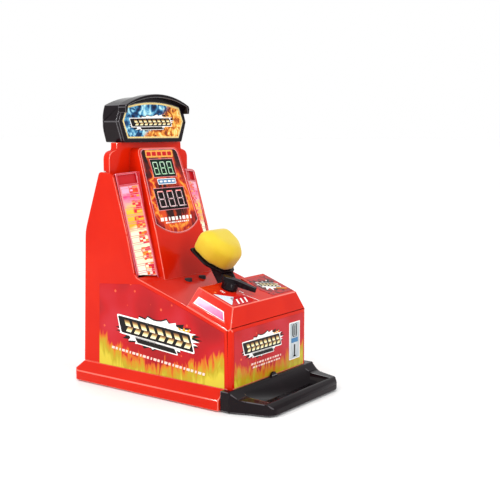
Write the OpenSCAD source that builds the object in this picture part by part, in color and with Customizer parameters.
// Desktop boxing punch machine. A flick knocks the hinged punch pad back and the tower shows the speed.
// Millimetres, +Z up, +X to the right and -Y towards the player. The origin is on the surface it stands on.

/* [Base] */
// Width over the flared skirt
base_w = 120; // [104:1:150]
// Depth from the front of the tray to the back of the skirt
base_depth = 197.6; // [180:0.2:240]
// Height of the upright band of the skirt
skirt_band_h = 9.2; // [6:0.1:12]
// Height of the skirt's top edge, where the cabinet starts
rim_h = 16.6; // [15:0.1:22]
// How far the skirt stands out from each side of the cabinet
side_flare = 8; // [4:0.5:12]
// How far the skirt stands out behind the cabinet
back_flare = 5.2; // [3:0.1:10]
// Height of the rubber feet below the base
ground_gap = 1; // [0.6:0.1:2]
// Wall of the red mouldings
wall = 2.2; // [1.6:0.1:3]

/* [Cabinet] */
// Height of the side wings
wing_h = 177; // [160:1:200]
// Depth of the wings where they meet the deck
tower_depth = 62.2; // [55:0.1:70]
// Height of the deck at the foot of the wings
deck_h = 93; // [85:1:100]
// Slope of the lower deck, degrees
deck_slope = 18.2; // [14:0.1:22]
// Length of the control block from the front wall to its ridge
block_l = 37.9; // [34:0.1:44]
// Rise of the control block's ridge above the lower deck
block_rise = 15.8; // [13:0.1:19]
// Slope of the control block's top, degrees
block_slope = 20; // [15:0.5:24]
// How far the side bevel of the control block comes in
block_bevel_in = 9; // [6:0.1:12]
// How far the side bevel of the control block drops
block_bevel_drop = 14.7; // [10:0.1:18]

/* [Tray] */
// How far the tray reaches in front of the cabinet
tray_reach = 35.8; // [30:0.1:45]
// Length of the tray's ears beside the cabinet
ear_l = 6; // [4:0.1:9]
// Width of the tray's straight front edge
tray_front_w = 85; // [70:1:95]
// Height of the tray's side rims
tray_rim_h = 11; // [9:0.1:13]

/* [Punch pad] */
// Distance of the pad's hinge behind the front wall
hinge_in = 39.5; // [38:0.1:42]
// Depth of the pad's hinge below the ridge
hinge_drop = 5.6; // [5:0.1:8]
// Radius of the hinge pin
pin_r = 1.5; // [1:0.05:2]
// Tilt of the pad back from upright at rest, degrees
pad_tilt = 53.5; // [40:0.5:60]
// Width of the punch pad
pad_w = 35; // [28:0.5:40]
// Length of the foam along the arm
pad_l = 34.5; // [28:0.5:36]
// Thickness of the foam
pad_t = 22; // [16:0.5:24]
// Distance from the hinge to the near end of the foam
pad_start = 8.5; // [8:0.1:12]
// Width of the foam at its near end, where it clears the knob
pad_near_w = 15; // [12:0.5:17]
// Thickness of the backing plate
plate_t = 1.8; // [1.2:0.1:2.4]
// Distance from the hinge to the front face of the backing plate
plate_off = 8.5; // [8:0.1:10]

/* [Tower] */
// Half width of the display pillar at its foot
pillar_foot_w = 30.5; // [28:0.1:32]
// Half width of the display pillar at the bend below the display panel
pillar_bend_w = 30; // [27:0.1:31]
// Half width of the display pillar at its top
pillar_top_w = 25; // [23:0.1:28]
// Height of the bend below the display panel
bend_z = 123; // [115:1:128]
// Lean of the display face above the bend, degrees
pillar_lean = 19; // [15:0.1:21]
// Depth of the pillar's side walls
pillar_depth = 12; // [11:0.1:14]
// Height of the neck above the wings, up to the head
neck_h = 23.5; // [20:0.5:30]
// Width of the shoulder behind the pillar
shoulder_w = 98; // [90:0.5:99]
// Width of the neck
neck_w = 80; // [70:0.5:88]
// Length of each light strip
strip_l = 78; // [60:1:82]
// Turn of the light strips outwards, degrees
strip_turn = 19.5; // [10:0.5:24]
// Lean of the light strips, degrees
strip_lean = 15.1; // [12:0.1:18]

/* [Head] */
// Width of the head at its widest
head_w = 84; // [74:0.5:96]
// Width of the head at its foot
head_foot_w = 71.4; // [60:0.1:80]
// Width of the head where its arched top starts
head_top_w = 74; // [64:0.5:84]
// Height of the head without its brim
head_h = 38; // [34:0.5:44]
// Depth of the head from its front face to its back
head_depth = 21.1; // [18:0.1:28]
// How far the brim stands out in front of the head
brim_out = 6; // [3:0.1:9]
// Thickness of the brim
brim_t = 2.4; // [1.8:0.1:3]

/* [Selector] */
// Radius of the knob's hub
hub_r = 6.6; // [5:0.1:8]
// Height of the knob's hub
hub_h = 6.4; // [5:0.1:9]
// Length of the pointer from the knob's centre
pointer_l = 21; // [16:0.5:23]
// Radius of the switch shaft
shaft_r = 3; // [2:0.1:3.5]

/* [Electrics] */
// Diameter of a cell
cell_d = 14.5; // [13:0.1:15]
// Length of a cell
cell_l = 50.5; // [44:0.1:51]
// Radius of the speaker
speaker_r = 18; // [12:0.5:20]
// Thickness of the circuit boards
board_t = 1.6; // [1:0.1:2]

/* [Fits] */
// Clearance between parts that are pushed together
fit_gap = 0.15; // [0.1:0.01:0.3]
// Radial clearance of a turning shaft
run_gap = 0.05; // [0.02:0.01:0.1]
// Clearance round parts that move freely
free_gap = 0.6; // [0.4:0.05:1]
// Thickness of the printed labels
label_t = 0.25; // [0.15:0.01:0.4]

/* [Hidden] */
$fn = 48;
red = "#e3301f";
black = "#1f1b20";
over = 1; // how far a cut runs past the face it opens

// Plan of the cabinet and its base
half_w = base_w / 2 - side_flare;
y_front = -base_depth / 2 + tray_reach;
y_back = base_depth / 2 - back_flare;
y_skirt = base_depth / 2;
y_ears = y_front + ear_l;

// Side view of the cabinet
y_wing = y_back - tower_depth;
y_ridge = y_front + block_l;
function deck_z(y) = deck_h + (y - y_wing) * tan(deck_slope);
z_ridge = deck_z(y_ridge) + block_rise;
function block_z(y) = z_ridge + (y - y_ridge) * tan(block_slope);
nose_in = 4.3;
z_nose = block_z(y_front + nose_in);
bevel_v = block_bevel_drop / cos(block_slope);
z_shoulder_front = z_nose - bevel_v - nose_in * tan(block_slope);
knee_z = wing_h - 49;
back_lean_low = 4.5;
back_lean_top = 24.2;
wing_top_l = 12.4;
wing_top_y = y_back - back_lean_top;
wing_knee_y = y_wing + 10.5;
wing_knee_z = deck_h + 35;

// Tower: the display face leans back from the deck to the bend, and more above it
head_z = wing_h + neck_h;
y_pillar = y_wing - 10.9;
y_bend = y_wing - 2.8;
pillar_foot_z = deck_z(y_pillar);
pillar_top_z = head_z - 4.5;
pillar_s = (pillar_top_z - bend_z) / cos(pillar_lean);
function face_y(z) = z > bend_z
    ? y_bend + (z - bend_z) * tan(pillar_lean)
    : y_bend + (z - bend_z) * (y_bend - y_pillar) / (bend_z - pillar_foot_z);
y_cap = y_back - 31.1;
y_cap_back = y_cap + 7;
y_head = y_cap - 4.6;
cap_foot_z = wing_h - 3;

// Punch pad: its own frame has its origin on the hinge, Z along the arm and -Y towards the punched face
y_hinge = y_front + hinge_in;
z_hinge = z_ridge - hinge_drop;
pad_end = pad_start + pad_l;
plate_end = pad_end - 2.2;
pad_outline = [
    [-pad_near_w / 2, pad_start, 3], [pad_near_w / 2, pad_start, 3], [pad_w / 2, pad_start + 13, 8],
    [pad_w / 2, pad_end, 5], [-pad_w / 2, pad_end, 5], [-pad_w / 2, pad_start + 13, 8]
];
arm_w = 16;
barrel_r = pin_r + 2;
ear_t = 3;
notch_w = arm_w + 2 * (ear_t + free_gap) + 2 * fit_gap;

// Selector: it stands square on the control block's sloped top
knob_x = -18;
knob_y = y_front + 27.5;
boss_r = 3.6;
screw_r = 1.3;
head_r = 2.6;

function unit(v) = v / norm(v);
function xy(p) = [p[0], p[1]];
function turn(u, v) = u[0] * v[1] - u[1] * v[0];
// Outline with the corners [x, y, radius] rounded
function arc_corner(a, b, c, n) =
    let (u = unit(xy(a) - xy(b)), v = unit(xy(c) - xy(b)), half = acos(u * v) / 2)
    let (k = xy(b) + unit(u + v) * b[2] / sin(half))
    let (s = xy(b) + u * b[2] / tan(half) - k, e = xy(b) + v * b[2] / tan(half) - k)
    let (a0 = atan2(s[1], s[0]), raw = atan2(e[1], e[0]) - a0)
    let (da = raw > 180 ? raw - 360 : raw < -180 ? raw + 360 : raw)
    [for (i = [0:n]) k + b[2] * [cos(a0 + da * i / n), sin(a0 + da * i / n)]];
function rounded(p, n = 5) = let (m = len(p)) [
    for (i = [0:m - 1]) each p[i][2] > 0 ? arc_corner(p[(i + m - 1) % m], p[i], p[(i + 1) % m],
        n) : [xy(p[i])]
];
// Anticlockwise outline moved inwards by t, with its radii kept concentric
function inset(p, t) = let (m = len(p)) [
    for (i = [0:m - 1])
        let (u = unit(xy(p[i]) - xy(p[(i + m - 1) % m])), v = unit(xy(p[(i + 1) % m]) - xy(p[i])))
        let (nu = [-u[1], u[0]], nv = [-v[1], v[0]], q = xy(p[i]) + (nu + nv) * t / (1 + nu * nv))
        let (r = p[i][2] == 0 ? 0 : max(0, p[i][2] + (turn(u, v) > 0 ? -t : t)))
        [q[0], q[1], r]
];
function mirror_x(p) = [for (i = [len(p) - 1:-1:0]) [-p[i][0], p[i][1], p[i][2]]];
function mirrored(p) = concat(p, mirror_x(p));
// Points of a circular arch of the given half width and rise, from right to left
function arch(w, z, rise, n = 14) =
    let (r = (w * w + rise * rise) / (2 * rise), a = asin(w / r))
    [for (i = [0:n]) [r * sin(a - 2 * a * i / n), z + rise - r + r * cos(a - 2 * a * i / n), 0]];

// A (y, z) outline stretched across X, and an (x, z) outline stretched along Y
module side_prism(p, x0, x1) {
    translate([x0, 0, 0]) rotate([90, 0, 90]) linear_extrude(x1 - x0) polygon(rounded(p));
}
module front_prism(p, y0, y1) {
    translate([0, y1, 0]) rotate([90, 0, 0]) linear_extrude(y1 - y0) polygon(rounded(p));
}
module plan_prism(p, z0, z1) {
    translate([0, 0, z0]) linear_extrude(z1 - z0) polygon(rounded(p));
}
module block(x0, x1, y0, y1, z0, z1) {
    translate([x0, y0, z0]) cube([x1 - x0, y1 - y0, z1 - z0]);
}
module both_sides() {
    children();
    mirror([1, 0, 0]) children();
}

// ---- Base ----
battery_n = 3;
cell_pitch = cell_d + 0.6;
well_w = battery_n * cell_pitch + 1;
well_l = cell_l + 7;
well_y = y_ears + 57;
well_top = ground_gap + 2 + cell_d + 0.6;
door_t = 1.6;
door_lip = 1.2;
// The door swings on the round bead along its rear edge
door_axis_y = well_y + well_l / 2 + door_lip - fit_gap - door_t / 2;
speaker_z = rim_h + 34;
screw_sites = [for (x = [-1, 1], y = [y_front + 9, y_back - 12]) [x * (half_w - 7.5), y]];
skirt_x = [
    [base_w / 2, ground_gap, 0], [base_w / 2, skirt_band_h, 0], [half_w, rim_h, 0],
        [half_w, rim_h + 20, 0]
];
skirt_plan = [
    [-base_w / 2, y_ears, 0], [base_w / 2, y_ears, 0], [base_w / 2, y_skirt, 5], [-base_w / 2, y_skirt, 5]
];
skirt_side = [
    [y_front, ground_gap, 0], [y_skirt, ground_gap, 0], [y_skirt, skirt_band_h, 0], [y_back, rim_h, 0],
    [y_back, rim_h + 20, 0], [y_front, rim_h + 20, 0]
];
cabinet_plan = [
    [half_w, y_front, 3.5], [half_w, y_skirt + 30, 0], [-half_w, y_skirt + 30, 0], [-half_w, y_front, 3.5]
];
module skirt_form(t, top) {
    intersection() {
        side_prism(inset(skirt_side, t), -base_w / 2 + t, base_w / 2 - t);
        front_prism(inset(concat(skirt_x, mirror_x(skirt_x)), t), y_ears + t, y_skirt);
        plan_prism(inset(skirt_plan, t), 0, top);
    }
    intersection() {
        block(-half_w + t, half_w - t, y_front + t, y_ears + 8, ground_gap + t, top);
        plan_prism(inset(cabinet_plan, t), 0, top);
    }
}
door_screw_y = well_y - well_l / 2 - 5;
module base_tray() {
    color(red) difference() {
        union() {
            difference() {
                skirt_form(0, rim_h);
                skirt_form(wall, rim_h + over);
            }
            block(-well_w / 2 - wall, well_w / 2 + wall, well_y - well_l / 2 - wall,
                well_y + well_l / 2 + wall,
                ground_gap, well_top + wall);
            for (s = screw_sites) translate([s[0], s[1], ground_gap])
                cylinder(r = boss_r, h = rim_h - ground_gap);
            translate([0, door_screw_y, ground_gap]) cylinder(r = boss_r, h = 8);
        }
        block(-well_w / 2, well_w / 2, well_y - well_l / 2, well_y + well_l / 2, ground_gap - over,
            well_top);
        block(-well_w / 2 - door_lip, well_w / 2 + door_lip, well_y - well_l / 2 - door_lip,
            well_y + well_l / 2 + door_lip, ground_gap - over, ground_gap + door_t + fit_gap);
        block(-5 - fit_gap, 5 + fit_gap, door_screw_y - 4 - fit_gap, well_y, ground_gap - over,
            ground_gap + door_t + fit_gap);
        translate([0, door_screw_y, 0]) {
            cylinder(r = screw_r + run_gap, h = ground_gap + 7);
            block(-screw_r - run_gap, screw_r + run_gap, -screw_r - 0.8, 0, -over, ground_gap + 7);
        }
        for (s = screw_sites) translate([s[0], s[1], 0]) {
            cylinder(r = screw_r + run_gap, h = rim_h + over);
            cylinder(r = head_r + fit_gap, h = ground_gap + 5);
        }
    }
}
module rubber_feet() {
    color("#3a3a3c") for (x = [-1, 1], y = [y_ears + 12, y_skirt - 12])
        translate([x * (base_w / 2 - 9), y, 0]) {
            cylinder(r = 4.5, h = ground_gap);
        }
}
module battery_door() {
    a = fit_gap;
    half = well_w / 2 + door_lip - a;
    color(red) difference() {
        union() {
            block(-half, half, well_y - well_l / 2 - door_lip + a, door_axis_y, ground_gap,
                ground_gap + door_t);
            translate([-half, door_axis_y, ground_gap + door_t / 2]) rotate([0, 90, 0])
                cylinder(d = door_t, h = 2 * half);
            for (x = [-12, 12]) block(x - 4, x + 4, well_y + well_l / 2 - 2, well_y + well_l / 2 - 0.5,
                ground_gap + door_t, ground_gap + door_t + 2);
            block(-5, 5, door_screw_y - 4, well_y - well_l / 2, ground_gap, ground_gap + door_t);
        }
        translate([0, door_screw_y, 0]) {
            cylinder(r = screw_r + 0.2, h = 9);
            cylinder(r = head_r + fit_gap, h = ground_gap + 0.8);
        }
        for (i = [0:4]) block(-10, 10, well_y + 14 + 2 * i, well_y + 15 + 2 * i, ground_gap - over,
            ground_gap + 0.5);
    }
}
module screw(l, r = screw_r, head = head_r, head_h = 1.8) {
    difference() {
        union() {
            cylinder(r = head, h = head_h);
            cylinder(r = r, h = l);
        }
        for (a = [0, 90]) rotate([0, 0, a]) block(-head * 0.62, head * 0.62, -0.3, 0.3, -over, 0.9);
    }
}
module door_screw() {
    color("silver") translate([0, door_screw_y, ground_gap + 0.1]) screw(6, head_h = 0.7);
}
module batteries() {
    for (i = [0:battery_n - 1]) translate([(i - 1) * cell_pitch, well_y, ground_gap + 2.1 + cell_d / 2])
        rotate([i % 2 ? -90 : 90, 0, 0]) color("#1c7a4a") {
            translate([0, 0, -cell_l / 2]) cylinder(d = cell_d, h = cell_l - 1.2);
            translate([0, 0, cell_l / 2 - 1.2]) cylinder(d = 5.5, h = 1.2);
        }
}
module battery_contacts() {
    spring_l = (well_l - cell_l) / 2 - 0.7;
    color("silver") for (i = [0:battery_n - 1], e = [-1, 1]) {
        translate([(i - 1) * cell_pitch, well_y + e * (well_l / 2 - 0.3),
            ground_gap + 2.1 + cell_d / 2]) {
            block(-5, 5, -0.3, 0.3, -5, 5);
            if ((i % 2 ? 1 : -1) * e > 0) rotate([e * 90, 0, 0]) translate([0, 0, 0.3])
                cylinder(d = 5, h = spring_l);
            else rotate([e * 90, 0, 0]) for (k = [0:2]) translate([0, 0, 0.3 + k * spring_l / 3])
                cylinder(d = 8 - 1.6 * k, h = spring_l / 3);
        }
    }
}

// ---- Cabinet ----
side_view = [
    [y_front, rim_h, 0], [y_back, rim_h, 0], [y_back - back_lean_low, knee_z, 40],
    [wing_top_y + 2, wing_h, 4], [wing_top_y - wing_top_l, wing_h - 1.2, 5],
        [wing_knee_y, wing_knee_z, 60],
    [y_wing + 3.1, deck_h + 2.8, 3], [y_wing, deck_h, 0], [y_ridge + 3.1, deck_z(y_ridge + 3.1), 0],
    [y_front + 2, z_shoulder_front, 0], [y_front, z_shoulder_front, 0]
];
block_side = [
    [y_front, rim_h, 0], [y_ridge + 20, rim_h, 0], [y_ridge + 6, deck_z(y_ridge + 6) - 1, 0],
    [y_ridge + 4.6, deck_z(y_ridge + 4.6), 0], [y_ridge, z_ridge, 0], [y_front + nose_in, z_nose, 0],
    [y_front, z_shoulder_front, 0]
];
module on_block(x = 0, y = y_ridge) {
    translate([x, y, block_z(y)]) rotate([block_slope, 0, 0]) children();
}
module control_block(t) {
    w = half_w;
    bevel_section = [
        [-w, -80, 0], [w, -80, 0], [w, -block_bevel_drop, 0], [w - block_bevel_in, 0, 0],
        [-w + block_bevel_in, 0, 0], [-w, -block_bevel_drop, 0]
    ];
    intersection() {
        side_prism(inset(block_side, t), -half_w + t, half_w - t);
        on_block() front_prism(inset(bevel_section, t), -90, 60);
    }
}
// Frame on a bevel: X out and down across it, Y along it, Z square to it
bevel_a = atan2(block_bevel_drop, block_bevel_in);
window_l = 32;
window_w = 6.6;
window_in = 6.2;
module on_bevel() {
    on_block() translate([half_w - block_bevel_in, 0, 0]) rotate([0, bevel_a, 0])
        translate([window_in + window_w / 2, -20, 0]) children();
}
module window_outline(grow) {
    w = window_w / 2 + grow;
    l = window_l / 2 + grow;
    polygon([[-w, -l + 5], [w, -l], [w, l], [-w, l - 1]]);
}
vent_n = 9;
module cabinet_shell() {
    color(red) difference() {
        union() {
            intersection() {
                union() {
                    difference() {
                        side_prism(side_view, -half_w, half_w);
                        side_prism([
                            [y_front + wall, rim_h - over, 0], [y_skirt + 40, rim_h - over, 0],
                            [y_skirt + 40, wing_h + 40, 0], [y_wing, wing_h + 40, 0],
                            [y_wing, deck_z(y_wing) - wall, 0],
                            [y_front + wall, deck_z(y_front + wall) - wall, 0]
                        ], -half_w + wall, half_w - wall);
                    }
                    control_block(0);
                }
                plan_prism(cabinet_plan, 0, wing_h + 10);
            }
        }
        intersection() {
            control_block(wall);
            plan_prism(inset(cabinet_plan, wall), 0, wing_h);
        }
        side_prism([
            [y_front + wall, rim_h - over, 0], [y_wing, rim_h - over, 0],
                [y_wing, deck_z(y_wing) - wall, 0],
            [y_front + wall, deck_z(y_front + wall) - wall, 0]
        ], -half_w + wall, half_w - wall);
        // Hinge notch, selector hole, lamp windows and the cable way into the pillar
        block(-notch_w / 2, notch_w / 2, y_hinge - 9, y_hinge + 12, z_hinge - 14, z_ridge + 9);
        on_block(knob_x, knob_y) cylinder(r = shaft_r + 0.9, h = 20, center = true);
        both_sides() on_bevel() translate([0, 0, -wall - over])
            linear_extrude(wall + 2 * over) window_outline(0);
        block(-pillar_top_w + 6, pillar_top_w - 6, y_pillar + 5, y_wing + over, deck_h - 12, deck_h + 5);
        power_hole();
    }
    color(red) difference() {
        for (s = screw_sites) intersection() {
            translate([s[0], s[1], rim_h]) union() {
                cylinder(r = boss_r, h = 16);
                translate([s[0] > 0 ? 0 : -7.5, -1, 0]) cube([7.5, 2, 16]);
            }
            block(-half_w + wall / 2, half_w - wall / 2, y_front, y_back, rim_h, rim_h + 16);
        }
        for (s = screw_sites) translate([s[0], s[1], rim_h - over])
            cylinder(r = screw_r + run_gap, h = 15);
    }
    color(red) difference() {
        for (h = rear_sites, m = [-1, 1]) translate([0, rear_y(h) - wall, h]) rotate([90, 0, 0]) {
            translate([m * (half_w - 8), 0, 0]) cylinder(r = boss_r, h = 12);
            translate([m > 0 ? half_w - 8 : -half_w + wall / 2, -1, 0]) cube([8 - wall / 2, 2, 12]);
        }
        for (h = rear_sites, m = [-1, 1]) translate([m * (half_w - 8), rear_y(h) - wall + over, h])
            rotate([90, 0, 0]) cylinder(r = screw_r + run_gap, h = 11);
    }
}
rear_sites = [rim_h + 18, knee_z - 18];
function rear_y(z) = y_back - back_lean_low * (z - rim_h) / (knee_z - rim_h) - 0.4;
switch_y = y_back - 12.5;
switch_z = rim_h + 34;
module power_hole() {
    block(half_w - wall - over, half_w + over, switch_y - 4, switch_y + 4, switch_z - 1.8,
        switch_z + 1.8);
}
cover_x = half_w - wall - fit_gap;
module rear_cover() {
    back = [
        [y_back - 14, rim_h, 0], [y_back, rim_h, 0], [y_back - back_lean_low, knee_z, 40],
        [wing_top_y + 2, wing_h, 4], [wing_top_y - 14, wing_h, 0]
    ];
    difference() {
        color(red) union() {
            difference() {
                side_prism(back, -cover_x, cover_x);
                side_prism([
                    [y_back - 60, rim_h - over, 0], [y_back - wall, rim_h - over, 0],
                    [y_back - wall - back_lean_low, knee_z, 38],
                        [wing_top_y - wall + 2, wing_h + over, 0],
                    [wing_top_y - 60, wing_h + over, 0]
                ], -cover_x - over, cover_x + over);
            }
            intersection() {
                side_prism(back, -cover_x, cover_x);
                translate([0, y_back - 7, speaker_z]) rotate([-90, 0, 0]) difference() {
                    cylinder(r = speaker_r + 2.2, h = 8);
                    translate([0, 0, -over]) cylinder(r = speaker_r + 0.3, h = 10);
                }
            }
        }
        for (h = rear_sites, m = [-1, 1]) translate([m * (half_w - 8), rear_y(h) + 4, h])
            rotate([90, 0, 0]) {
            cylinder(r = screw_r + run_gap, h = 12);
            cylinder(r = head_r + fit_gap, h = 5);
        }
        for (i = [0:vent_n - 1]) let (x = (i - (vent_n - 1) / 2) * 3.4, r = speaker_r - 3)
            block(x - 0.8, x + 0.8, y_back - 20, y_back + 5,
                speaker_z - sqrt(r * r - x * x), speaker_z + sqrt(r * r - x * x));
    }
}
module base_screws() {
    color("silver") for (s = screw_sites) translate([s[0], s[1], ground_gap + 3.2]) screw(rim_h + 6);
}
module rear_screws() {
    color("silver") for (h = rear_sites, m = [-1, 1])
        translate([m * (half_w - 8), rear_y(h) + 0.8, h]) rotate([90, 0, 0]) screw(10);
}
module corner_window() {
    difference() {
        on_bevel() {
            translate([0, 0, -wall]) linear_extrude(wall) window_outline(-fit_gap);
            translate([0, 0, -wall - 1]) linear_extrude(1) window_outline(0.8);
        }
        block(-base_w, base_w, y_front - 40, y_front + wall + 0.4, 0, wing_h);
    }
}
module corner_window_left() {
    color("#f3b7d0") mirror([1, 0, 0]) corner_window();
}
module corner_window_right() {
    color("#f3b7d0") corner_window();
}

// ---- Printed labels ----
label_side = [
    [y_ears, rim_h + 0.2, 0], [y_back - 18.3, rim_h + 0.2, 0], [y_back - 20.4, deck_h - 8.4, 0],
    [y_wing - 4, deck_z(y_wing - 4) - 3.5, 0], [y_ridge + 3, deck_z(y_ridge + 3) - 3.5, 0],
    [y_ears, z_shoulder_front - 1.2, 0]
];
module side_labels() {
    color("#d8321c") both_sides() side_prism(label_side, half_w, half_w + label_t);
}
label_w = half_w - 4.5;
module front_label() {
    color("#d8321c") block(-label_w, label_w, y_front - label_t, y_front, rim_h + 0.4,
        z_shoulder_front - 0.4);
}
module deck_label() {
    color("#b01c16") on_block() linear_extrude(label_t) polygon([
        [9.5, -22], [14.5, -4], [half_w - block_bevel_in - 1, -4], [half_w - block_bevel_in - 1, -33],
            [13, -33]
    ]);
}
module dial_label() {
    color("#b01c16") on_block() difference() {
        translate([-42, -34, 0]) linear_extrude(label_t)
            polygon([[0, 4], [3, 30], [42, 30], [34, 0], [4, 0]]);
        translate([knob_x, (knob_y - y_ridge) / cos(block_slope), 0])
            cylinder(r = hub_r + 1, h = 3, center = true);
        block(-notch_w / 2 - 1, 10, -11, 10, -1, 1);
    }
}

// ---- Front tray ----
tray_front = y_front - tray_reach;
tray_half = base_w / 2 - 2;
tray_plan = [
    [-tray_half, y_ears - 0.3, 0], [-tray_half, y_front - 3, 6], [-half_w - 1.4, y_front - 15, 12],
    [-tray_front_w / 2 - 5, tray_front, 9], [tray_front_w / 2 + 5, tray_front, 9],
    [half_w + 1.4, y_front - 15, 12], [tray_half, y_front - 3, 6], [tray_half, y_ears - 0.3, 0]
];
tray_side = [
    [tray_front, ground_gap, 0], [y_ears, ground_gap, 0], [y_ears, rim_h, 0], [y_front - 2.5, rim_h, 1],
    [y_front - 10, tray_rim_h, 6], [tray_front + 5, tray_rim_h - 1, 4], [tray_front, tray_rim_h - 5, 3]
];
module tray_form(t) {
    intersection() {
        side_prism(inset(tray_side, t), -tray_half + t, tray_half - t);
        plan_prism(inset(tray_plan, t), 0, rim_h + 10);
    }
}
tray_wall = 1.8;
bowl_z = 3.4;
module tray_bowl(t) {
    back = y_front - 3 + t;
    front = tray_front + 5.5 - t;
    wide = tray_front_w / 2 + 2 + t;
    hull() {
        block(-wide + 5, wide - 5, front + 2.5, back - 9, bowl_z - t, bowl_z + 1);
        block(-wide, wide, front, back, rim_h + 2, rim_h + 3);
        block(-wide, wide, front, back - 6, tray_rim_h + 2, tray_rim_h + 3);
    }
}
module front_tray() {
    color(black) difference() {
        union() {
            difference() {
                tray_form(0);
                translate([0, 0, -over]) tray_form(tray_wall);
            }
            intersection() {
                tray_form(0);
                tray_bowl(tray_wall);
            }
            for (m = [-1, 1]) translate([m * (tray_front_w / 2 - 3), tray_front + 10, 0])
                cylinder(r = 4, h = ground_gap + 1.5);
            translate([1, y_front - 1.6, rim_h]) rotate([90, 0, 0]) cylinder(r = 3.6, h = 2);
        }
        tray_bowl(0);
        block(-half_w - fit_gap, half_w + fit_gap, y_front - fit_gap, y_ears + 4, 0, rim_h + 10);
    }
}

// ---- Display pillar ----
// Frame on the display face: its origin is at the bend, Z up along the face and +Y into the pillar
module on_face(z = 0) {
    translate([0, y_bend, bend_z]) rotate([-pillar_lean, 0, 0]) translate([0, 0, z]) children();
}
side_depth = pillar_depth / cos(pillar_lean);
pillar_side = [
    [y_pillar, pillar_foot_z, 0], [y_pillar + side_depth, deck_z(y_pillar + side_depth), 0],
    [face_y(cap_foot_z) + side_depth, cap_foot_z, 0], [y_cap - 0.1, cap_foot_z + 3, 0],
    [y_cap - 0.1, pillar_top_z, 0], [face_y(pillar_top_z), pillar_top_z, 0], [y_bend, bend_z, 0]
];
pillar_front = concat(
    [[-pillar_foot_w, pillar_foot_z - 5, 0], [pillar_foot_w, pillar_foot_z - 5, 0]],
    mirrored([[pillar_bend_w, bend_z, 0], [pillar_top_w, pillar_top_z, 5]])
);
module pillar_form(t) {
    intersection() {
        side_prism(inset(pillar_side, t), -pillar_foot_w + t, pillar_foot_w - t);
        front_prism(inset(pillar_front, t), y_pillar - 5, y_cap + 5);
    }
}
panel_t = 1.2;
panel_foot_w = pillar_bend_w - 3.2;
panel_top_w = pillar_top_w - 2;
panel_z0 = 12;
panel_z1 = pillar_s - 1.2;
panel_sag = 9.5;
score_z = 32.3;
score_w = 37.5;
score_h = 18.3;
high_z = 59.2;
high_w = 28.2;
high_h = 15.1;
module panel_outline(grow) {
    w = panel_foot_w + grow;
    polygon(rounded(concat(
        [[panel_top_w + grow, panel_z1 + grow, 5], [-panel_top_w - grow, panel_z1 + grow, 5]],
        [for (p = arch(w, 0, panel_sag)) [-p[0], panel_z0 - p[1] - grow, 0]]
    )));
}
module upright(t, y = 0) {
    translate([0, y + t, 0]) rotate([90, 0, 0]) linear_extrude(t) children();
}
module window(z, w, h, y0, y1) {
    block(-w / 2, w / 2, y0, y1, z - h / 2, z + h / 2);
}
module display_holes(grow, y0, y1) {
    window(score_z, score_w + 2 * grow, score_h + 2 * grow, y0, y1);
    window(high_z, high_w + 2 * grow, high_h + 2 * grow, y0, y1);
}
module display_housing() {
    color(red) difference() {
        pillar_form(0);
        difference() {
            pillar_form(wall);
            on_face() block(-pillar_foot_w, pillar_foot_w, -over, panel_t + 1.6, 0, pillar_s);
        }
        side_prism([
            [y_pillar + wall + 3, pillar_foot_z - 8, 0], [y_pillar + 40, pillar_foot_z - 8, 0],
            [face_y(cap_foot_z) + 40, cap_foot_z - 6, 0],
                [face_y(cap_foot_z) + wall + 3.5, cap_foot_z - 6, 0]
        ], -pillar_top_w + wall, pillar_top_w - wall);
        on_face() upright(panel_t + over, -over) panel_outline(fit_gap);
        on_face() display_holes(fit_gap, -over, 6);
        translate([0, y_cap - 5, head_z - 14]) rotate([-90, 0, 0]) cylinder(r = 3, h = 10);
    }
}
module display_panel() {
    color("#7c1410") on_face() difference() {
        upright(panel_t) panel_outline(0);
        display_holes(fit_gap, -over, panel_t + over);
    }
}
// Three seven-segment digits, w by h overall, standing proud of the module's face
module digits(w, h, bar) {
    pitch = w / 3.15;
    dw = pitch * 0.62;
    dh = h * 0.74;
    for (i = [-1:1], s = [-1, 1]) translate([i * pitch, 0, 0]) {
        for (v = [-1, 0, 1]) translate([0, 0, v * (dh - bar) / 2])
            block(-dw / 2 + bar, dw / 2 - bar, -0.2, 0, -bar / 2, bar / 2);
        for (v = [-1, 1]) translate([s * (dw - bar) / 2, 0, v * dh / 4])
            block(-bar / 2, bar / 2, -0.2, 0, -dh / 4 + bar * 0.7, dh / 4 - bar * 0.7);
        translate([pitch / 2 - 0.4, 0, -dh / 2 + bar / 2]) rotate([90, 0, 0])
            cylinder(r = bar * 0.45, h = 0.2);
    }
}
module display_module(z, w, h, lit, bar) {
    on_face(z) {
        color("#120d10") block(-w / 2, w / 2, 0.5, module_t, -h / 2, h / 2);
        color(lit) translate([0, 0.5, 0]) digits(w, h, bar);
    }
}
module high_score_display() {
    display_module(high_z, high_w, high_h, "#7dffa0", 1.1);
}
module score_display() {
    display_module(score_z, score_w, score_h, "#ff9a9a", 1.5);
}
module_t = 5.6;
board_z0 = 16;
module main_board() {
    half = pillar_top_w - wall - 2.4;
    y = module_t;
    color("#1d6b3a") on_face() difference() {
        block(-half, half, y, y + board_t, board_z0, pillar_s - wall - 4);
        for (m = [-1, 1]) translate([m * (half - 3), y - over, board_z0 + 3]) rotate([-90, 0, 0])
            cylinder(r = 1.2, h = board_t + 2 * over);
    }
    color("#222222") on_face() {
        block(-7, 7, y + board_t, y + board_t + 2, score_z + 7, score_z + 17);
        for (x = [-14, -10, 12]) block(x, x + 2.4, y + board_t, y + board_t + 1.4, score_z - 4, score_z);
    }
}

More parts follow.
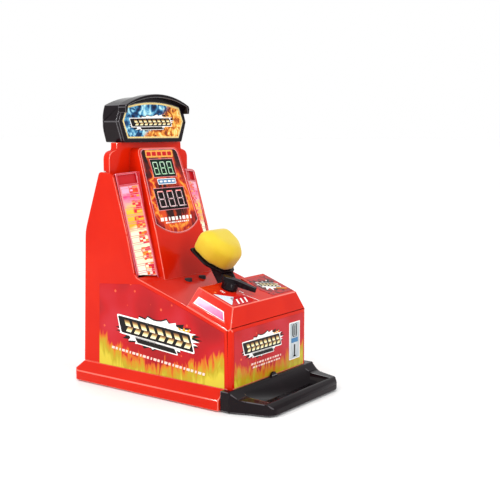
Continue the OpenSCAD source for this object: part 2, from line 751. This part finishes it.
// ---- Light strips ----
strip_x0 = pillar_foot_w + 0.4;
strip_x1 = half_w - wall - 0.3;
strip_w = (strip_x1 - strip_x0) / cos(strip_turn);
strip_mid_z = (pillar_foot_z + 1.5 + cap_foot_z - 7) / 2;
strip_sink = 5.6;
frame_depth = 9;
flange_at = 3;
recess_depth = 2.4;
cable_hole_r = 2;
lens_t = 1.8;
lens_bar_pitch = 5.8;
lens_bar_half = 1.9;
frame_up = 11;
frame_t = 1.4;
module on_strip() {
    translate([strip_x0, face_y(strip_mid_z) + strip_sink, strip_mid_z])
        rotate([-strip_lean, 0, 0]) rotate([0, 0, strip_turn]) children();
}
module under_deck(up) {
    side_prism([
        [y_pillar - 30, 0, 0], [y_wing + 20, 0, 0], [y_wing + 20, deck_z(y_wing) + up, 0],
        [y_wing, deck_z(y_wing) + up, 0], [y_pillar - 30, deck_z(y_pillar - 30) + up, 0]
    ], 0, half_w);
}
module light_frame() {
    l = strip_l / 2;
    color("#c02014") difference() {
        on_strip() difference() {
            union() {
                block(0, strip_w, 0, frame_depth, -l - frame_t, l + frame_up);
                block(pillar_top_w - strip_x0, frame_t, flange_at, flange_at + frame_t, -l - frame_t,
                    l + frame_up);
            }
            block(frame_t, strip_w - frame_t, -over, frame_depth - frame_t, -l, l);
            block(frame_t, strip_w - frame_t, -over, recess_depth, l + frame_t, l + frame_up - frame_t);
            translate([strip_w / 2, 6, 0]) rotate([-90, 0, 0]) cylinder(r = cable_hole_r, h = 5);
        }
        block(strip_x1 + 0.1, strip_x1 + 20, 0, 90, 0, 200);
        pillar_form(-fit_gap);
        block(0, 60, y_cap - 0.15, 120, cap_foot_z - 0.15, 220);
        under_deck(0.05);
    }
}
module light_strip() {
    l = strip_l / 2;
    color("#ffd9a0") difference() {
        on_strip() {
            block(frame_t + fit_gap, strip_w - frame_t - fit_gap, 0.2, lens_t, -l + fit_gap, l - fit_gap);
            for (i = [-6:6]) translate([0, 0, i * lens_bar_pitch])
                block(frame_t + 1.2, strip_w - frame_t - 1.2, -0.3, 0.2, -lens_bar_half, lens_bar_half);
        }
        block(strip_x1 - 1.4, strip_x1 + 20, 0, 90, 0, 200);
        block(-strip_x0, strip_x0 + 1.2, 0, 90, 0, 200);
        under_deck(frame_t + 0.2);
    }
}
module light_board() {
    l = strip_l / 2;
    on_strip() {
        color("#1d6b3a") block(4, strip_w - 4, 7.6 - board_t, 7.6, -l + 6, l - 6);
        color("#fff6c8") for (i = [-3:3]) translate([strip_w / 2, 7.6 - board_t, i * 10])
            rotate([90, 0, 0])
            cylinder(r = 1.5, h = 2);
    }
}
module light_frame_left() {
    mirror([1, 0, 0]) light_frame();
}
module light_frame_right() {
    light_frame();
}
module light_strip_left() {
    mirror([1, 0, 0]) light_strip();
}
module light_strip_right() {
    light_strip();
}
module light_board_left() {
    mirror([1, 0, 0]) light_board();
}
module light_board_right() {
    light_board();
}

// ---- Shoulder and neck ----
head_screw_x = 30;
head_screw_in = 3.5;
cap_outline = mirrored([
    [shoulder_w / 2, cap_foot_z, 0], [shoulder_w / 2, wing_h + 16, 7], [neck_w / 2, wing_h + 17.4, 1.2],
    [neck_w / 2, head_z, 0]
]);
module tower_cap() {
    color(red) difference() {
        front_prism(cap_outline, y_cap, y_cap_back);
        front_prism(inset(cap_outline, wall), y_cap + wall, y_cap_back - wall);
        block(-6, 6, y_cap + wall, y_cap_back - wall, head_z - 6, head_z + over);
        for (m = [-1, 1]) translate([m * head_screw_x, y_cap + head_screw_in, head_z - 3])
            cylinder(r = screw_r + run_gap, h = 4);
        translate([0, y_cap - 1, head_z - 14]) rotate([-90, 0, 0]) cylinder(r = 3, h = wall + 2);
        side_prism([
            [wing_top_y - 12, cap_foot_z - 10, 0], [wing_top_y + 20, cap_foot_z - 10, 0],
            [wing_top_y + 20, wing_h + 0.2, 0], [wing_top_y - wall - 0.3, wing_h + 0.2, 0],
            [wing_top_y - wall - 0.3, cap_foot_z - 10, 0]
        ], -half_w, half_w);
    }
}

// ---- Head ----
head_mid_z = head_z + 17;
head_side_z = head_z + 30.5;
head_rise = head_h - 30.5;
head_outline = mirrored_arch(head_foot_w / 2, head_w / 2, head_top_w / 2, head_rise, 0);
function mirrored_arch(foot, mid, top, rise, t) = concat(
    [[-foot, head_z + t, 2], [foot, head_z + t, 2], [mid, head_mid_z, 0]],
    arch(top, head_side_z, rise),
    [[-mid, head_mid_z, 0]]
);
panel_outline_head = concat(
    [[-head_foot_w / 2 + 2.9, head_z + 1.9, 0.6], [head_foot_w / 2 - 2.9, head_z + 1.9, 0.6],
        [head_w / 2 - 2.7, head_mid_z + 0.6, 0]],
    arch(head_top_w / 2 - 3.4, head_side_z, head_rise - 3.4),
    [[-head_w / 2 + 2.7, head_mid_z + 0.6, 0]]
);
head_plan = [
    [-head_w / 2, y_head, 0], [head_w / 2, y_head, 0], [head_w / 2, y_head + head_depth, 4.5],
    [-head_w / 2, y_head + head_depth, 4.5]
];
bezel_t = 3;
module marquee_housing() {
    color(black) difference() {
        intersection() {
            front_prism(head_outline, y_head + bezel_t, y_head + head_depth);
            plan_prism(head_plan, head_z - 5, head_z + 60);
        }
        intersection() {
            front_prism(inset(head_outline, 1.8), y_head, y_head + head_depth - 2);
            plan_prism(inset(head_plan, 1.8), head_z - 5, head_z + 60);
        }
        block(-6, 6, y_cap + wall, y_cap_back - wall, head_z - over, head_z + 3);
        for (m = [-1, 1]) translate([m * head_screw_x, y_cap + head_screw_in, head_z - over])
            cylinder(r = screw_r + run_gap, h = 5);
    }
}
module marquee_bezel() {
    rise = head_rise + 1.6;
    side = head_top_w / 2 + 2;
    color(black) difference() {
        union() {
            front_prism(head_outline, y_head, y_head + bezel_t);
            front_prism(concat(
                [[side + 0.6, head_side_z - 6.5, 0], [side + 1.2, head_side_z - 2, 0]], 
                arch(side, head_side_z + 0.4, rise),
                [[-side - 1.2, head_side_z - 2, 0], [-side - 0.6, head_side_z - 6.5, 0],
                    [-side + brim_t - 1, head_side_z - 6.5, 0]],
                [for (p = arch(side - brim_t, head_side_z - 0.6, rise - 1.8)) [-p[0], p[1], 0]],
                [[side - brim_t + 1, head_side_z - 6.5, 0]]
            ), y_head - brim_out, y_head + bezel_t - 0.5);
        }
        front_prism(inset(panel_outline_head, 1.4), y_head - over, y_head + bezel_t + over);
        front_prism(panel_outline_head, y_head + 0.6, y_head + bezel_t + over);
    }
}
module marquee_panel() {
    color("#3c6ea8") {
        front_prism(inset(panel_outline_head, fit_gap), y_head + 0.6, y_head + 1.8);
        front_prism(inset(panel_outline_head, 1.4 + fit_gap), y_head + 0.1, y_head + 0.6);
    }
}
module marquee_light() {
    y = y_head + head_depth - 2 - 5;
    color("#1d6b3a") block(-28, 28, y, y + board_t, head_z + 10, head_z + 24);
    color("#fff6c8") for (i = [-2:2]) translate([i * 11, y, head_z + 17]) rotate([90, 0, 0])
        cylinder(r = 2, h = 2.4);
    color("#1d6b3a") for (x = [-24, 24]) translate([x, y + board_t, head_z + 17]) rotate([-90, 0, 0])
        cylinder(r = 2, h = 5 - board_t);
}
module marquee_screws() {
    color("silver") for (m = [-1, 1])
        translate([m * head_screw_x, y_cap + head_screw_in, head_z + 3.6]) mirror([0, 0, 1]) screw(5.4);
}

// ---- Selector ----
switch_t = 7;
switch_w = 11;
module on_knob() {
    on_block(knob_x, knob_y) children();
}
module selector_knob() {
    color(black) on_knob() difference() {
        union() {
            translate([0, 0, label_t + 0.2]) cylinder(r = hub_r, h = hub_h);
            rotate([0, 0, -52]) hull() {
                translate([-hub_r + 1.6, 0, hub_h - 2]) cylinder(r = 2.4, h = 5.4, $fn = 24);
                translate([hub_r * 0.6, 0, hub_h - 2]) cylinder(r = 2, h = 5, $fn = 24);
                translate([pointer_l - 1.2, 0, hub_h - 3.6]) cylinder(r = 1.2, h = 4, $fn = 24);
            }
        }
        translate([0, 0, -over]) cylinder(r = shaft_r + 0.03, h = hub_h + over);
    }
}
module selector_shaft() {
    color("silver") on_knob() translate([0, 0, -wall - 5]) {
        cylinder(r = shaft_r, h = wall + 5 + hub_h - 0.4);
        cylinder(r = shaft_r + 1.4, h = 1.6);
    }
}
module selector_switch() {
    on_knob() {
        color("#2a5a38") difference() {
            block(-switch_w / 2, switch_w / 2, -switch_w / 2, switch_w / 2, -wall - switch_t,
                -wall - 0.05);
            translate([0, 0, -wall - 5.2]) cylinder(r = shaft_r + 1.5, h = 2);
            translate([0, 0, -wall - 5.2]) cylinder(r = shaft_r + run_gap, h = 8);
        }
        color("gold") for (i = [-2:2]) block(i * 2 - 0.3, i * 2 + 0.3, -switch_w / 2 - 2, -switch_w / 2,
            -wall - 5, -wall - 4.4);
    }
}

// ---- Hinge and punch pad ----
module hinge_axis(x0, x1, r) {
    translate([x0, y_hinge, z_hinge]) rotate([0, 90, 0]) cylinder(r = r, h = x1 - x0);
}
// Frame of the pad: Z along the arm, -Y towards the punched face
module on_arm(tilt = pad_tilt) {
    translate([0, y_hinge, z_hinge]) rotate([-tilt, 0, 0]) children();
}
ear_x = arm_w / 2 + free_gap;
module hinge_housing() {
    w = notch_w / 2 - fit_gap;
    color(black) difference() {
        union() {
            for (m = [-1, 1]) {
                x = m > 0 ? ear_x : -w;
                hinge_axis(x, x + w - ear_x, 4.4);
                block(x, x + w - ear_x, y_hinge - 8.8, y_hinge + 11.8, z_hinge - 12, z_hinge - 3);
                block(x, x + w - ear_x, y_hinge - 4.4, y_hinge + 4.4, z_hinge - 4, z_hinge);
            }
            block(-w, w, y_hinge + 8, y_hinge + 11.8, z_hinge - 12, z_hinge - 6);
            for (m = [-1, 1]) {
                block(m * (w + 2) - 3, m * (w + 2) + 3, y_hinge + 5, y_hinge + 11.8,
                    z_hinge - 12, deck_z(y_hinge + 5) - wall - 0.05);
                block(m > 0 ? 4.6 : -w, m > 0 ? w : -4.6, y_hinge - 8.8, y_hinge - 6.4, z_hinge - 9,
                    z_hinge - 3);
            }
        }
        hinge_axis(-40, 40, pin_r + 0.02);
    }
}
module hinge_pin() {
    color("silver") hinge_axis(-notch_w / 2 + fit_gap, notch_w / 2 - fit_gap, pin_r);
}
// Radius of the blade below the pivot that the speed sensor times
flag_r = 8.6;
screw_x = 2.6;
module pad_arm() {
    rib = 2.2;
    color(black) difference() {
        union() {
            hinge_axis(-arm_w / 2, arm_w / 2, barrel_r);
            on_arm() {
                for (m = [-1, 1]) {
                    x = m > 0 ? arm_w / 2 - 0.4 - rib : -arm_w / 2 + 0.4;
                    side_prism([
                        [-barrel_r + 0.7, 0, 0], [barrel_r - 0.7, 0, 0], [2.2, 8, 3],
                            [-plate_off + plate_t + 4, 21, 0],
                        [-plate_off + plate_t, 24, 0], [-plate_off + plate_t, pad_start + 0.6, 1.5]
                    ], x, x + rib);
                }
                block(-arm_w / 2, arm_w / 2, -plate_off + plate_t, -plate_off + plate_t + 2,
                    pad_start + 1, 24);
                block(-0.5, 0.5, -3, 3, -flag_r, -2);
            }
        }
        hinge_axis(-40, 40, pin_r + run_gap);
        on_arm() pad_screw_sites() cylinder(r = screw_r + run_gap, h = 20);
    }
}
module pad_screw_sites() {
    for (x = [-screw_x, screw_x]) translate([x, -plate_off - 6, 20 - x]) rotate([-90, 0, 0]) children();
}
module pad_plate() {
    color(black) on_arm() difference() {
        intersection() {
            upright(plate_t, -plate_off) polygon(rounded(pad_outline));
            block(-pad_w, pad_w, -plate_off - over, 0, 0, plate_end);
        }
        pad_screw_sites() cylinder(r = screw_r + run_gap, h = 20);
    }
}
module pad_screws() {
    color("silver") on_arm() for (x = [-screw_x, screw_x])
        translate([x, -plate_off + plate_t + 2 + 1.8, 20 - x])
        rotate([90, 0, 0]) screw(5.4);
}
foam_gap = 0.05;
module punch_pad() {
    bevel = 6;
    color("#f2cf1f") on_arm() translate([0, -plate_off - foam_gap, 0]) difference() {
        hull() {
            translate([0, -pad_t, 0]) upright(1) polygon(rounded(inset(pad_outline, bevel), 3));
            translate([0, -pad_t + bevel, 0]) upright(1) polygon(rounded(pad_outline, 3));
            translate([0, -1, 0]) upright(1) polygon(rounded(inset(pad_outline, 1), 3));
        }
        translate([0, -2.2, 0]) for (x = [-screw_x, screw_x]) translate([x, 0, 20 - x])
            rotate([-90, 0, 0])
            cylinder(r = screw_r + 0.5, h = 4);
    }
}
// Rubber stops that the backing plate lands on when the pad is knocked flat
pad_back = 93;
pad_reach = plate_end - 4;
stop_y = y_hinge + pad_reach * sin(pad_back) - (plate_off - plate_t) * cos(pad_back);
stop_z = z_hinge + pad_reach * cos(pad_back) + (plate_off - plate_t) * sin(pad_back);
module bump_stops() {
    color("#2b2b2d") difference() {
        for (x = [-9, 9]) translate([x, stop_y, 0]) cylinder(r = 3, h = stop_z - 0.35);
        side_prism([
            [y_front, -over, 0], [y_wing + 30, -over, 0], [y_wing + 30, deck_z(y_wing + 30) + 0.02, 0],
            [y_front, deck_z(y_front) + 0.02, 0]
        ], -40, 40);
    }
}
// The sensor sits where the blade passes when the pad is half way back
sensor_at = 30;
sensor_r = flag_r + 7.4;
module speed_sensor() {
    color("#202020") on_arm(sensor_at) difference() {
        block(-4, 4, -3, 3, -sensor_r, -flag_r + 3);
        block(-1.2, 1.2, -4, 4, -flag_r - 2, 0);
    }
}
module sensor_board() {
    color("#1d6b3a") on_arm(sensor_at) difference() {
        block(-8.2, 8.2, -5, 5, -sensor_r - board_t, -sensor_r);
        for (m = [-1, 1]) translate([m * 6, 0, -sensor_r - board_t - over])
            cylinder(r = 1, h = board_t + 2 * over);
    }
}

// ---- Speaker and power switch ----
module speaker() {
    translate([0, y_back - wall - 0.8 - 1.4, speaker_z]) rotate([90, 0, 0]) {
        color("#2c2c30") difference() {
            cylinder(r = speaker_r, h = 3);
            translate([0, 0, -over]) cylinder(r = speaker_r - 2.5, h = 2.4);
        }
        color("#777777") cylinder(r = speaker_r * 0.42, h = 8);
    }
}
module power_switch() {
    x = half_w - wall;
    color("#2c2c30") difference() {
        block(x - 7, x, switch_y - 8, switch_y + 8, switch_z - 4, switch_z + 4);
        block(x - 4, x + over, switch_y - 4.2, switch_y + 4.2, switch_z - 1.9, switch_z + 1.9);
    }
    color("gold") for (i = [-1:1]) block(x - 10, x - 7, switch_y + 4 * i - 0.4, switch_y + 4 * i + 0.4,
        switch_z - 0.3, switch_z + 0.3);
}
module power_slider() {
    x = half_w - wall;
    color(black) {
        block(x - 3.8, x + wall + 1.6, switch_y - 3.6, switch_y - 0.6, switch_z - 1.5, switch_z + 1.5);
    }
}

base_tray();
rubber_feet();
battery_door();
door_screw();
batteries();
battery_contacts();
cabinet_shell();
rear_cover();
base_screws();
rear_screws();
front_tray();
corner_window_left();
corner_window_right();
side_labels();
front_label();
deck_label();
dial_label();
display_housing();
display_panel();
high_score_display();
score_display();
main_board();
light_frame_left();
light_frame_right();
light_strip_left();
light_strip_right();
light_board_left();
light_board_right();
tower_cap();
marquee_housing();
marquee_bezel();
marquee_panel();
marquee_light();
marquee_screws();
selector_knob();
selector_shaft();
selector_switch();
hinge_housing();
hinge_pin();
pad_arm();
pad_plate();
pad_screws();
punch_pad();
bump_stops();
speed_sensor();
sensor_board();
speaker();
power_switch();
power_slider();
